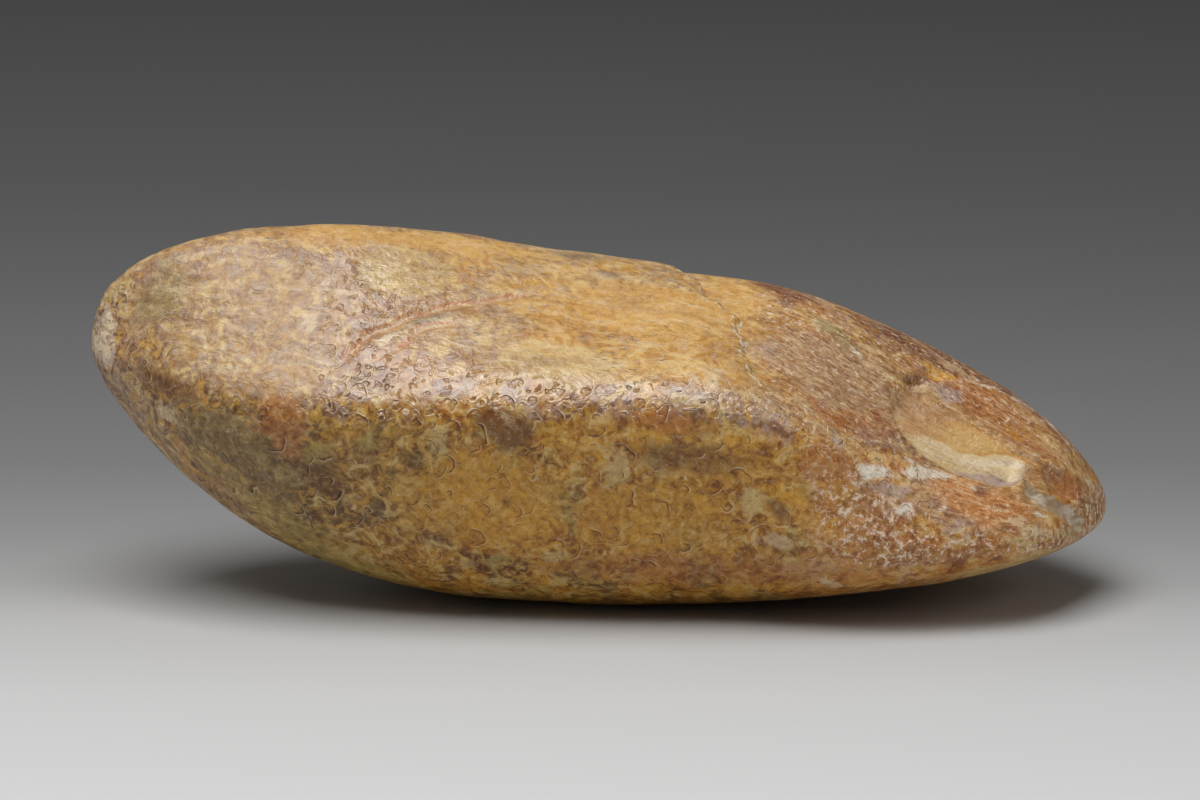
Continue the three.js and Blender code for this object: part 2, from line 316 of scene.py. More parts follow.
plain = skin
flaked, flake_u, flake_v, in_flake = flake_scar(plain)
chipped = np.maximum(np.max([chip(plain, *values) for values in CHIPS], axis=0), flaked)
sunk = sum(hollow(plain, *values) for values in HOLLOWS) + chipped
sunk = sunk + scarp(plain, FRACTURE, FRACTURE_DOWNHILL, drop=1.0, lip=0.4, run=9, wander=0.8)
sunk = sunk + furrow(plain, FRACTURE, half_width=0.35, depth=0.3, wander=0.8)
sunk = sunk + furrow(plain, TIP_FLUTE, half_width=1.1, depth=0.6)
sunk = sunk + furrow(plain, CREASE, half_width=0.55, depth=0.5)
sunk = sunk + furrow(plain, CREASE_BRANCH, half_width=0.5, depth=0.15)

# Blows of pounding leave crescent pits. They lie thickest on the shoulder and the front.
facing_front = -normal[..., 1]
facing_up = normal[..., 2]
from_middle = (along - 0.5) * LENGTH + 0 * around
blows = ramp(facing_up, 0.98, 0.72) * ramp(facing_up, -0.9, -0.4)
blows = np.clip(blows * (0.8 + 0.35 * layered(skin, 9, 5)) + 0.2 * ramp(from_middle, -20, -45), 0, 1)
scarred = np.exp(-((from_middle - 31) / 15) ** 2) * ramp(facing_up, 0.4, 0.6) * (facing_front > 0)
blows = blows * (1 - 0.85 * scarred) * (1 - ramp(chipped, 0, 0.3)) * ramp(from_middle, 58, 46)
PIT_CELL = 1.7
PIT_DEPTH = 0.12


def crescent_pits(places, seed):
    """Crescent pits: space is cut into cubes and each holds one centre at random, with a radius of
    0.4 to 0.95 cubes and a facing of its own. A pit deepens from its centre out to its wall, at the
    radius, and only on the side that the centre faces. The deepest pit at a place wins."""
    places = places + 0.35 * np.stack([drift(places, 1.9, seed + axis) for axis in range(3)], -1)
    cube = np.floor(places / PIT_CELL).astype(np.int64)
    depth = np.zeros(places.shape[:-1])
    wall = np.zeros(places.shape[:-1])
    for step in np.ndindex(3, 3, 3):
        cell = cube + np.array(step) - 1
        centre = (cell + np.stack([scatter(cell, seed + axis) for axis in range(3)], -1)) * PIT_CELL
        faces = np.stack([scatter(cell, seed + 3 + axis) for axis in range(3)], -1) - 0.5
        faces = faces / (np.linalg.norm(faces, axis=-1, keepdims=True) + 1e-6)
        radius = PIT_CELL * (0.4 + 0.55 * scatter(cell, seed + 6))
        offset = places - centre
        far = np.linalg.norm(offset, axis=-1)
        side = ramp((offset * faces).sum(-1) / (far + 1e-6), 0.1, 0.6)
        share = far / radius
        one = side * ramp(share, 0.1, 0.95) * ramp(share, 1.3, 0.97)
        wall = np.where(one > depth, side * np.exp(-((far - 1.05 * radius) / 0.2) ** 2), wall)
        depth = np.maximum(depth, one)
    return depth, wall


# Hands have polished the shoulder, where the blows lie thickest, and less so the flake, the chips and
# the blunt end.
polish = ramp(facing_up, 0.93, 0.74) * ramp(facing_up, 0.0, 0.3)
polish = polish * ramp(from_middle, -38, -24) * ramp(from_middle, 46, 32)
polish = np.clip(polish + 0.3 * ramp(chipped, 0, 0.3) + 0.5 * ramp(from_middle, -50, -56), 0, 1)
pitted, pit_walls = crescent_pits(skin, 11)
sunk = sunk + PIT_DEPTH * blows * pitted

# The unevenness of the worn skin, in millimetres high, and how softly the flat belly turns up.
SWELL, WAVE, BEATEN_WAVE, GRAIN, SCAR_GRAIN = 0.14, 0.02, 0.07, 0.02, 0.03
BELLY_SOFTNESS = 0.03
sunk = sunk - SWELL * layered(plain, 10, 21, 2) - (WAVE + BEATEN_WAVE * blows) * drift(plain, 3.0, 27)
sunk = sunk - GRAIN * layered(plain, 1.4, 29, 2) - SCAR_GRAIN * scarred * layered(plain, 2.4, 31, 3)
skin = plain - normal * sunk[..., None]
# The belly: a height z becomes half of z and of the root of z squared and the softness.
skin[..., 2] = 0.5 * (skin[..., 2] + np.sqrt(skin[..., 2] ** 2 + BELLY_SOFTNESS))
skin[..., 2] -= skin[..., 2].min()
middle = (skin.reshape(-1, 3).min(0) + skin.reshape(-1, 3).max(0)) / 2
skin[..., 1] -= middle[1]
ends[:, 1] -= middle[1]

# The mesh: a strip of four-sided faces between each two rings, and a fan of triangles at each end.
points = np.vstack([skin.reshape(-1, 3), ends])
ring = np.arange(RINGS * COLUMNS).reshape(RINGS, COLUMNS)
beside = np.roll(ring, -1, 1)
quads = np.stack([ring[:-1], ring[1:], beside[1:], beside[:-1]], -1).reshape(-1, 4)
blunt_cap = [(RINGS * COLUMNS, int(a), int(b)) for a, b in zip(ring[0], beside[0])]
thin_cap = [(RINGS * COLUMNS + 1, int(b), int(a)) for a, b in zip(ring[-1], beside[-1])]
mesh = bpy.data.meshes.new("pestle_skin")
mesh.from_pydata((points * MM).tolist(), [], quads.tolist() + blunt_cap + thin_cap)
mesh.update()
mesh.polygons.foreach_set("use_smooth", np.ones(len(mesh.polygons), bool))
stone = bpy.data.objects.new("pestle_skin", mesh)
bpy.context.scene.collection.objects.link(stone)
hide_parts("pestle_stone")
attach(stone, "root")


# The colours of the jasper, as red, green and blue from 0 to 255.
COLOURS = {
    "sand": (188, 154, 112), "dust": (172, 138, 108), "honey": (214, 166, 92), "straw": (206, 180, 122),
    "cream": (220, 198, 158), "chalk": (238, 226, 206), "ochre": (188, 130, 26), "gold": (212, 156, 44),
    "amber": (212, 144, 76), "rust": (172, 104, 52), "umber": (112, 70, 32), "olive": (120, 98, 52),
    "moss": (142, 126, 78), "khaki": (170, 146, 76), "maroon": (112, 62, 48), "lilac": (172, 150, 142),
    "slate": (112, 102, 88), "tan": (200, 158, 110), "brown": (150, 108, 70),
}


def linear(name):
    """The light that a written colour gives off: each channel over 255, plus 0.055, over 1.055, to
    the power 2.4."""
    return ((np.array(COLOURS[name]) / 255 + 0.055) / 1.055) ** 2.4


def coloured(ground, *layers):
    """A ground colour with others laid over it in turn: each one's cover times its difference from the
    colours under it is added to them."""
    for name, cover in layers:
        ground = ground + cover[..., None] * (linear(name) - ground)
    return ground


# The ground colour turns from sand and honey on top to ochre and umber on the sides, olive and dust
# on the side at the blunt end, and rust and amber at the thin end. Its streaks run along the stone. Past
# 8 mm from the middle they slant, a degree more towards the front for each millimetre.
MM_PER_DEGREE = 0.4
SLANT_START, SLANT = 8, 1.0
round_degrees = np.degrees(around) + 0 * along
round_degrees = (round_degrees + 180) % 360 - 180
girth = MM_PER_DEGREE * 2 * np.sqrt(along * (1 - along))
slanted = np.radians(round_degrees - SLANT * np.maximum(0, from_middle - SLANT_START))
run = np.stack([0.3 * from_middle, 22 * np.sin(slanted), 22 * np.cos(slanted)], -1)
cloudy = skin + 2.0 * np.stack([layered(skin, 6, 101 + axis, 2) for axis in range(3)], -1)
rusty = ramp(from_middle + 5 * layered(skin, 8, 77), 16, 30)
upper = ramp(facing_up + 0.12 * layered(skin, 5, 79), 0.35, 0.6)
top = coloured(
    linear("sand"),
    ("dust", 0.9 * ramp(layered(cloudy, 7, 61) + 0.4 * drift(run, 2.2, 62), 0.0, 0.5)),
    ("honey", 0.85 * ramp(layered(run, 3.5, 63) + 0.03 * (from_middle + 12), -0.2, 0.5)))
side = coloured(
    linear("ochre"),
    ("umber", 0.8 * ramp(layered(cloudy, 5, 64), 0.0, 0.45)),
    ("gold", 0.9 * ramp(layered(cloudy, 4, 67), 0.05, 0.45)),
    ("khaki", 0.75 * ramp(layered(cloudy, 5, 70), 0.3, 0.65)),
    ("olive", 0.85 * ramp(from_middle + 6 * layered(skin, 8, 72), -14, -34)),
    ("dust", 0.6 * ramp(from_middle + 9 * layered(skin, 4, 75), -30, -48)),
    ("amber", 0.75 * rusty),
    ("rust", 0.75 * rusty * ramp(layered(cloudy, 4, 85), 0, 0.4)),
    ("cream", 0.5 * rusty * ramp(layered(cloudy, 3.4, 88), 0.3, 0.6)))
rusty_shoulder = polish * ramp(from_middle, 20, 0) * ramp(layered(cloudy, 4, 95), -0.6, 0.3)
# The lilac on the polished shoulder is partly the stone's own lilac and partly painted sheen, where the
# gloss band falls.
lilac_and_sheen_shoulder = polish * ramp(facing_up, 0.88, 0.7) * ramp(layered(cloudy, 3.5, 99), -0.3, 0.4)
tint = coloured(
    side + upper[..., None] * (top - side),
    ("rust", 0.65 * upper * rusty * ramp(layered(run, 4, 81), -0.8, 0.5)),
    ("rust", 0.6 * rusty_shoulder),
    ("lilac", 0.75 * lilac_and_sheen_shoulder),
    ("brown", 0.3 * upper * ramp(from_middle, -2, -30)),
    ("brown", 0.7 * scarred * ramp(layered(cloudy, 5, 97), -0.9, 0.1)))

# Stains and spots, each where it shows on the stone: its colour, how far along in millimetres from
# the middle, degrees round from the top to the front, half length and half width in millimetres,
# its turn in degrees, and how strongly it covers. Spots lie over stains. A few spots are painted light
# or shade, as marked.
STAINS = (
    ("straw", -57, 23, 2.4, 1.1, 15, 0.6), ("moss", -51, 35, 4.2, 2.8, -35, 0.5),
    ("dust", -30, 20, 3.6, 2.2, -25, 0.6), ("honey", -23, 0, 18, 2.2, -7, 0.7),
    ("straw", -23, 17, 5.8, 4, -7, 0.5), ("straw", -5, 53, 7, 3.7, -1, 0.5),
    ("umber", -50, 87, 3.8, 1.6, 0, 0.8), ("rust", -37, 88, 4.5, 2.9, -76, 0.6),
    ("umber", -32, 102, 3.2, 2.7, -19, 0.7), ("olive", -41, 110, 7.1, 6, 21, 0.6),
    ("umber", -11, 75, 2.9, 2.1, -4, 0.85), ("straw", 2, 87, 4, 1.7, -88, 0.75),
    ("umber", -9, 93, 2.1, 1.7, 21, 0.5), ("khaki", -33, 140, 14, 3.8, 25, 0.5),
    ("honey", 5, 19, 8.3, 6.8, 28, 0.5), ("honey", 15, 6, 6.7, 3.5, -84, 0.5),
    ("maroon", 22, -8, 4.3, 2.2, 27, 0.8), ("cream", 27, 11, 2.5, 1.7, 38, 0.6),
    ("lilac", 22, 29, 4.5, 4.2, -4, 0.5), ("rust", 29, 45, 6, 5.5, 53, 0.5),
    ("maroon", 38, 2, 7.4, 2.1, 11, 0.75), ("dust", 27, 30, 6.9, 6.8, 14, 0.55),
    ("maroon", 47, 2, 10.9, 2.1, 4, 0.6), ("rust", 46, 21, 6.4, 2.6, 20, 0.6),
    ("rust", 54.7, 55, 2.7, 2.6, -20, 0.6), ("rust", 7.5, 69, 4.5, 1.4, 5, 0.7),
    ("umber", 10, 81, 5.7, 1.9, 2, 0.6), ("rust", 26, 77, 3.4, 2.8, 0, 0.6),
    ("rust", 34.7, 94, 2.1, 1.7, -72, 0.7), ("amber", 43.7, 84, 6.6, 3.7, 24, 0.7),
    ("straw", 47, 132, 7, 2.6, -5, 0.6), ("gold", 23, 95, 5.6, 1.6, 43, 0.6),
    ("amber", 29.7, 97, 2.8, 2.5, -73, 0.5), ("rust", 12, 125, 18, 2.7, -2, 0.4),
    ("gold", -14, 101, 10.5, 6.6, -15, 0.5), ("gold", 6, 104, 8.1, 5.5, -6, 0.45),
)
SPOTS = (
    # The chalk spot at the blunt end, at -58 mm, is partly a painted highlight.
    ("chalk", -58, 67, 4.5, 1.8, 80, 0.5), ("cream", -34, 44, 1.8, 1, -73, 0.6),
    ("cream", -24, 48, 1.9, 1, -55, 0.6), ("slate", -20, 35, 2.2, 1, -39, 0.5),
    ("cream", -51, 106, 2, 1.4, -24, 0.7), ("khaki", -32, 92, 1.8, 1.4, -51, 0.7),
    ("khaki", -26, 86, 1.8, 1.2, -23, 0.8), ("cream", -11, 72, 0.9, 0.5, -7, 0.7),
    ("straw", -5, 120, 1.8, 1.3, -19, 0.7), ("khaki", -12, 125, 1.9, 1.4, -23, 0.7),
    ("straw", -15, 127, 1.5, 0.9, -82, 0.6), ("slate", -2.5, -8, 3, 0.8, 3, 0.6),
    ("slate", 1, 0, 1.4, 0.7, 1, 0.6), ("maroon", 22, 0, 2, 1, -4, 0.7),
    # The umber spot at 36.9 mm is a painted shadow in the notch.
    ("moss", 28, 10, 3.4, 1.2, 28, 0.7), ("umber", 36.9, 19, 1.3, 0.6, -15, 0.85),
    ("gold", 39.6, 12, 1.9, 0.8, -10, 0.9), ("lilac", 40.5, 19, 2.6, 0.7, 4, 0.8),
    ("ochre", 49.3, 28, 1.6, 0.9, -9, 0.8), ("chalk", 51.2, 36, 0.6, 0.4, 1, 0.9),
    ("chalk", 47, 9, 3.4, 0.4, -2, 0.8), ("chalk", 52, 7, 2.4, 0.4, 10, 0.8),
    ("cream", 42, 5, 2.0, 0.4, 4, 0.7), ("straw", 52, 111, 5.5, 0.7, 14, 0.85),
    ("cream", 57.6, 36, 1.0, 0.5, 40, 0.8), ("cream", 57.5, 80, 0.9, 0.5, 10, 0.7),
    # The chalk spot at 29.7 mm is a painted glint.
    ("chalk", 29.7, 14, 0.8, 0.3, 20, 0.9), ("cream", 13, 57, 3, 0.8, -86, 0.6),
    ("maroon", 20.5, 67, 1.4, 0.8, 15, 0.7), ("chalk", 31.4, 75, 1.9, 1.3, -33, 0.97),
    ("chalk", 37, 72, 3.1, 1.2, -11, 0.97), ("chalk", 35.8, 66, 0.6, 0.4, 0, 0.95),
    ("chalk", 34.8, 93, 1.1, 1.0, -10, 0.97), ("maroon", 44.2, 75, 1.6, 0.8, -77, 0.7),
    ("cream", 48.9, 101, 4.1, 1.0, 26, 0.7), ("straw", 17, 95, 2.1, 1.4, -90, 0.6),
    ("cream", 20, 110, 2.5, 1.2, 6, 0.6), ("umber", 20, 98, 1.8, 1.2, 39, 0.6),
    ("cream", 27, 132, 1.8, 1, 23, 0.7), ("straw", -18, 81, 1.5, 1.2, -70, 0.6),
    ("lilac", 33, 83, 3.0, 1.0, 8, 0.6), ("chalk", 39.8, 90, 0.7, 0.4, 10, 0.9),
    ("lilac", 41, 97, 2.2, 0.8, -20, 0.6), ("chalk", 43, 103, 0.7, 0.4, 30, 0.9),
    ("cream", 46, 88, 1.6, 0.4, 12, 0.8), ("chalk", 50.5, 92, 0.8, 0.3, 20, 0.9),
    ("maroon", 46.5, 100, 1.2, 0.7, 10, 0.7), ("chalk", 54.5, 84, 0.9, 0.35, 25, 0.85),
)
# The flake's bands: tan by the notch, a golden step, the pale body with a greenish lower side, and a
# lavender band painted as shade along its lower edge, with a brown rim painted as shade at that edge.
# Fine streaks run along it.
flake_streak = drift(np.stack([0.4 * flake_u, 2.6 * flake_v, 0 * flake_u], -1), 1.0, 7)
golden_line, pale_line, shade_line = (flake_line(flake_u, name) for name in ("golden", "pale", "shade"))
leaning = flake_v + 0.35 * flake_streak + 0.3 * drift(skin, 1.3, 8)
past_golden, past_pale, past_shade = leaning - golden_line, leaning - pale_line, leaning - shade_line
ochre_rim = np.exp(-((past_pale + 0.3) / 0.35) ** 2)
chalk_streak = np.exp(-((flake_v - pale_line - 1.4) / 0.6) ** 2)
flake_edge_shade = np.exp(-((in_flake - 0.2) / 0.3) ** 2) * (flake_v > pale_line)
flake_tint = coloured(
    linear("tan"),
    ("rust", 0.3 * ramp(flake_streak, 0.1, 0.6)),
    ("gold", 0.35 * ramp(past_golden, -0.4, 0.3) * ramp(flake_u, -4, 0)),
    ("straw", 0.4 * ramp(past_golden, 0.2, 0.9) * ramp(flake_u, -4, 0)),
    ("ochre", 0.8 * ochre_rim * ramp(flake_u, 2, 4)),
    ("cream", 0.95 * ramp(past_pale, -0.3, 0.3)),
    ("straw", 0.6 * ramp(flake_streak, 0.0, 0.5) * ramp(past_pale, 0, 0.4)),
    ("khaki", 0.35 * ramp(past_shade, -1.3, 0.0) * ramp(flake_u, 3, -1)),
    ("chalk", 0.5 * chalk_streak * ramp(flake_u, 0, 4)),
    # The lilac band and the brown rim are painted shade.
    ("lilac", 0.85 * ramp(past_shade, -0.3, 0.3) * ramp(flake_u, 0, 2.5)),
    ("brown", 0.7 * flake_edge_shade))
flake_strength = 0.45 + 0.55 * ramp(past_golden, -0.6, 0.4) * ramp(flake_u - 0.8 * flake_v, -9.5, -5)

# The flute's own colours: greenish and lilac, streaked with chalk, with an ochre side. It fades out at
# its ends.
FLUTE_SIDE = np.array((-0.5, -0.6, -0.6))
FLUTE_STRENGTH = 0.9
flute_far, flute_off, flute_weight = nearest_on_chain(plain, TIP_FLUTE, 0.3)
in_flute = flute_weight * ramp(flute_far, 1.5, 0.9)
flute_streak = drift(plain * np.array((0.5, 1.2, 2.0)), 1.0, 17)
flute_tint = coloured(
    linear("khaki"),
    ("lilac", np.full_like(flute_far, 0.6)),
    ("chalk", 0.65 * ramp(flute_streak, -0.2, 0.6)),
    ("ochre", 0.7 * ramp(flute_off @ FLUTE_SIDE, 0.4, 0.9)))
by_flute = (in_flake < 0) & (in_flute > 0)
scar_tint = np.where(by_flute[..., None], flute_tint, flake_tint)
scar_strength = np.where(by_flute, FLUTE_STRENGTH, flake_strength)
in_flake = np.maximum(in_flake, in_flute - 0.4)

# How far the places of the patches wander, along the stone and round it, in millimetres.
wander_along = 0.8 * layered(skin, 5, 41) + 0.3 * drift(skin, 1.1, 44)
wander_round = 0.8 * layered(skin, 5, 51) + 0.3 * drift(skin, 1.1, 54)


def laid_out(patches):
    """The colour and strength of the patch that each place takes, and how far inside its edge the
    place is, in millimetres. A patch is a turned ellipse on the unrolled skin, whose places are first
    moved by their wander: the distance inside is the half width times one less the distance from the
    middle in half lengths and half widths. A patch takes the places that lie in it or up to a tenth
    of a millimetre outside, and those that it comes nearer to than the patches before it."""
    colour = np.zeros(skin.shape[:-1] + (4,))
    inside = np.full(skin.shape[:-1], float(FAR_OUTSIDE))
    for name, at, degrees, half_length, half_width, turn_degrees, strength in patches:
        lengthwise = from_middle + wander_along - at
        sideways = ((round_degrees - degrees + 180) % 360 - 180) * girth + wander_round
        cosine, sine = math.cos(math.radians(turn_degrees)), math.sin(math.radians(turn_degrees))
        far_along = (cosine * lengthwise + sine * sideways) / half_length
        far_across = (cosine * sideways - sine * lengthwise) / half_width
        within = half_width * (1 - np.hypot(far_along, far_across))
        taken = (within > inside) | (within > -0.1)
        inside = np.where(taken, within, inside)
        colour = np.where(taken[..., None], np.append(linear(name), strength), colour)
    return colour, inside


def as_attribute(name, values):
    """Stores values for each point of the skin: one as a number, three as a vector, or four as a colour.
    The two end points take the mean of their ring."""
    kinds = {1: ("FLOAT", "value"), 3: ("FLOAT_VECTOR", "vector"), 4: ("FLOAT_COLOR", "color")}
    kind, field = kinds[values.shape[-1]]
    at_ends = values[[0, -1]].mean(1)
    flat = np.concatenate([values.reshape(RINGS * COLUMNS, -1), at_ends])
    mesh.attributes.new(name, kind, "POINT").data.foreach_set(field, flat.astype(np.float32).ravel())


stain, stain_inside = laid_out(STAINS)
spot, spot_inside = laid_out(SPOTS)
crease_far, _, crease_weight = nearest_on_chain(plain, CREASE, 0.5)
branch_far, _, branch_weight = nearest_on_chain(plain, CREASE_BRANCH, 0.5)
vein = np.minimum(crease_far + 2 * (1 - crease_weight), branch_far + 2 * (1 - branch_weight))
crack_far = nearest_on_chain(plain, FRACTURE, 0.8)[0]
frosted = rusty * ramp(from_middle + 14 * facing_up, 18, 27) * (1 - ramp(in_flake, -0.5, 0))
frosted = frosted * ramp(facing_up, 0.45, 0.15) * ramp(facing_up, -0.7, -0.4)
as_attribute("tint", np.concatenate([tint, np.ones_like(tint[..., :1])], -1))
as_attribute("stain", stain)
as_attribute("spot", spot)
as_attribute("flake", np.concatenate([scar_tint, scar_strength[..., None]], -1))
as_attribute("edges", np.stack([stain_inside, spot_inside, in_flake], -1))
# The pit walls, third in the lines, are drawn dark in the finish as painted shade.
as_attribute("lines", np.stack([vein, crack_far, pit_walls], -1))
as_attribute("wear", np.stack([blows, upper, polish], -1))
as_attribute("frosted", frosted[..., None])
as_attribute("streaked", (rusty * upper)[..., None])
as_attribute("run", run)

jasper = bpy.data.materials.new("worn_jasper")
jasper.use_nodes = True
nodes, links = jasper.node_tree.nodes, jasper.node_tree.links
shader = nodes["Principled BSDF"]


def put(kind, inputs=None, **settings):
    """Adds a node with its settings, and links each input that is given as another node's output."""
    node = nodes.new("ShaderNode" + kind)
    for name, value in settings.items():
        setattr(node, name, value)
    for name, value in (inputs or {}).items():
        if isinstance(value, bpy.types.NodeSocket):
            links.new(value, node.inputs[name])
        else:
            node.inputs[name].default_value = value
    return node


def work(operation, first, second=0.0, third=0.0):
    """One step of arithmetic on numbers."""
    return put("Math", {0: first, 1: second, 2: third}, operation=operation).outputs[0]


def vector_work(operation, first, second=(0, 0, 0), output=0):
    """One step of arithmetic on places or directions."""
    return put("VectorMath", {0: first, 1: second}, operation=operation).outputs[output]


def times(first, *others):
    """The product of all its values."""
    for other in others:
        first = work("MULTIPLY", first, other)
    return first


def plus(rest, rate, value):
    """The rest, plus a value at a rate."""
    return work("MULTIPLY_ADD", value, rate, rest)


def centred(grain):
    """A grain's value less its middle, one half."""
    return work("SUBTRACT", grain, 0.5)


def gap(value, level):
    """How far a value is from a level, either way."""
    return work("ABSOLUTE", work("SUBTRACT", value, level))


def eased(value, low, high, to_low=0.0, to_high=1.0):
    """Ramp, as above, from to_low at low to to_high at high."""
    ends = {"From Min": low, "From Max": high, "To Min": to_low, "To Max": to_high}
    return put("MapRange", {"Value": value, **ends}, interpolation_type="SMOOTHSTEP").outputs["Result"]


def blended(cover, under, over, blend="MIX"):
    """One colour over another, by how much it covers."""
    return put("Mix", {0: cover, 6: under, 7: over}, data_type="RGBA", blend_type=blend).outputs[2]


def grained(where, size, detail=3.0, roughness=0.6, swirl=0.0):
    """Noise from 0 to 1 with grains of the given size, in millimetres."""
    values = {"Scale": 1 / size, "Detail": detail, "Roughness": roughness, "Distortion": swirl}
    return put("TexNoise", {"Vector": where, **values}).outputs["Fac"]


def attribute(name, output):
    """What as_attribute stored under a name."""
    return put("Attribute", attribute_name=name).outputs[output]


def parts_of(name):
    """The three numbers of a stored vector."""
    return put("SeparateXYZ", {0: attribute(name, "Vector")}).outputs


object_place = put("TexCoord").outputs["Object"]
place = put("VectorMath", {0: object_place, "Scale": 1 / MM}, operation="SCALE").outputs[0]
bending = put("TexNoise", {"Vector": place, "Scale": 0.6, "Detail": 1.0}).outputs["Color"]
bent = vector_work("ADD", vector_work("MULTIPLY", bending, (1.1, 1.1, 1.1)), place)
stain_edge, spot_edge, flake_edge = parts_of("edges")
vein_far, crack_far_off, pit_wall = parts_of("lines")
blow_share, upper_share, polished = parts_of("wear")
frosted_share = attribute("frosted", "Fac")
streaked_share = attribute("streaked", "Fac")

# Finer crescent pits, under a fifth of a millimetre deep, in five layers. Each layer has the size of its
# cells, where its pattern starts, half the width of a pit's wall, how many cells hold a pit, and where.
on_shoulder = eased(polished, 0.0, 1.0, 0.3, 1.0)
CRESCENT_LAYERS = (
    (3.4, (3.1, 7.7, 1.3), 0.11, 0.8, 1.0),
    (2.4, (11.4, 2.9, 8.2), 0.1, 0.8, 1.0),
    (1.8, (5.9, 14.3, 2.2), 0.11, 1.2, on_shoulder),
    (1.4, (8.3, 1.1, 9.7), 0.1, 1.2, on_shoulder),
    (2.1, (1.9, 6.3, 12.7), 0.11, 1.2, on_shoulder),
)
ragged_arc = grained(place, 0.9, 2.0)


def crescents(cell, start, line, kept):
    """Crescent pits: each cell of a Voronoi pattern may hold an arc round its own centre, at a radius
    of 0.2 to 0.5 cells, on the side that the cell faces. Gives the pit's dark wall, the lip outside
    the wall, and the floor that slopes down to it."""
    here = vector_work("ADD", bent, start)
    cells = put("TexVoronoi", {"Vector": here, "Scale": 1 / cell}, feature="F1").outputs
    offset = vector_work("SUBTRACT", here, cells["Position"])
    faces = vector_work("NORMALIZE", vector_work("SUBTRACT", cells["Color"], (0.5, 0.5, 0.5)))
    turned = vector_work("DOT_PRODUCT", vector_work("NORMALIZE", offset), faces, output="Value")
    own = put("SeparateColor", {0: cells["Color"]}).outputs
    radius = plus(0.2 * cell, 0.3 * cell, own["Green"])
    past = work("SUBTRACT", vector_work("LENGTH", offset, output="Value"), radius)
    held = eased(own["Red"], 1 - kept, 1.15 - 0.5 * kept)
    side = times(eased(turned, 0.15, 0.7), held, eased(ragged_arc, 0.33, 0.46))
    wall = times(eased(work("ABSOLUTE", past), line, 0.2 * line), side)
    lip = times(eased(gap(past, 1.7 * line), line, 0.0), side)
    floor = times(eased(past, -0.35 * cell, 0.0), eased(past, line, 0.0), side)
    return wall, lip, floor


pits = (0.0, 0.0, 0.0)
for cell, start, line, kept, where in CRESCENT_LAYERS:
    layer = crescents(cell, start, line, kept)
    pits = tuple(work("MAXIMUM", times(one, where), so_far) for one, so_far in zip(layer, pits))
plain_top = times(upper_share, work("SUBTRACT", 1.0, polished))
marked = times(eased(blow_share, 0.0, 0.8, 0.12, 1.0), eased(plain_top, 0.0, 1.0, 1.0, 0.3),
               eased(frosted_share, 0.0, 0.6, 1.0, 0.2))
walls, lips, floors = (times(one, marked) for one in pits)

# The grains of the finish. The first lie still in the stone, and the rest run along it as its streaks do.
mottle = grained(place, 2.6, 3.5, 0.6, 1.6)
drifting = grained(vector_work("ADD", place, (17.0, 5.0, 11.0)), 1.5, 3.0, 0.6, 1.2)
fine = grained(place, 0.35, 2.0)
frost = grained(place, 1.5, 5.0, 0.65, 1.5)
clusters = grained(vector_work("ADD", place, (4.0, 9.0, 2.0)), 6.0, 2.0)
flecks = grained(vector_work("ADD", place, (6.0, 1.0, 3.0)), 0.8, 3.0, 0.65, 0.3)
running = attribute("run", "Vector")
fibre = grained(vector_work("MULTIPLY", running, (1.3, 2.4, 2.4)), 1.0, 4.0, 0.7)
soft_run = grained(vector_work("MULTIPLY", running, (0.6, 0.5, 0.5)), 1.0, 4.0, 0.6, 0.8)
hairs = grained(vector_work("MULTIPLY", running, (2.2, 5.5, 5.5)), 1.0, 2.0, 0.6, 0.6)
dashes = grained(vector_work("MULTIPLY", running, (3.0, 4.0, 4.0)), 1.0, 2.0)
speckle = grained(vector_work("MULTIPLY", running, (4.5, 2.4, 2.4)), 1.0, 3.0, 0.65)

# How ragged the painted edges are, from about 1 millimetre in to 1 millimetre out, and where the flake,
# the streaks and the softer tones of the top go.
ragged = plus(-1.8, 3.6, mottle)
ragged = plus(ragged, 1.6, centred(flecks))
ragged = plus(ragged, 0.8, centred(fibre))
flake_reach = eased(plus(flake_edge, 0.8, centred(flecks)), -0.1, 0.15)
flake_cover = times(flake_reach, attribute("flake", "Alpha"))
off_flake = work("SUBTRACT", 1.0, flake_cover)
streaky = times(eased(streaked_share, 0.0, 0.6), off_flake)
less_on_top = eased(upper_share, 0.0, 1.0, 1.0, 0.5)

# The tones of the finish, as the light that each gives off. A wash darkens what it covers, as thin tea
# does, and a paint hides it.
WASHES = {
    "tea": (0.48, 0.32, 0.15), "fawn": (0.70, 0.52, 0.36), "flake grain": (0.70, 0.54, 0.38),
    "flake speckle": (0.74, 0.56, 0.38), "streak": (0.55, 0.34, 0.20), "speckle": (0.50, 0.29, 0.14),
    # The pit floor shade and the pit and crack shade are painted shade, in the pits and along the crack.
    "fleck": (0.42, 0.30, 0.18), "fine grain": (0.55, 0.42, 0.30), "pit floor shade": (0.62, 0.42, 0.20),
    "pit and crack shade": (0.42, 0.25, 0.10),
}
PAINTS = {
    "ash brown": (0.42, 0.34, 0.29), "deep ochre": (0.58, 0.31, 0.045), "pale gold": (0.70, 0.51, 0.20),
    "wheat": (0.78, 0.60, 0.36), "dark rust": (0.40, 0.16, 0.035), "orange rust": (0.62, 0.27, 0.10),
    "rust patch": (0.40, 0.18, 0.045), "lace": (0.92, 0.72, 0.56), "pink lace": (0.90, 0.70, 0.60),
    "white speck": (0.92, 0.82, 0.70), "pale streak": (0.74, 0.50, 0.30), "pale hair": (0.86, 0.72, 0.58),
    "dark hair": (0.28, 0.15, 0.08), "dark dash": (0.13, 0.11, 0.085), "vein halo": (0.66, 0.47, 0.27),
    "red vein": (0.50, 0.20, 0.07), "crack lip": (0.85, 0.74, 0.58), "pale speckle": (0.68, 0.44, 0.24),
    "pale fleck": (0.74, 0.56, 0.32), "pale lip and glint": (0.84, 0.70, 0.50),
}


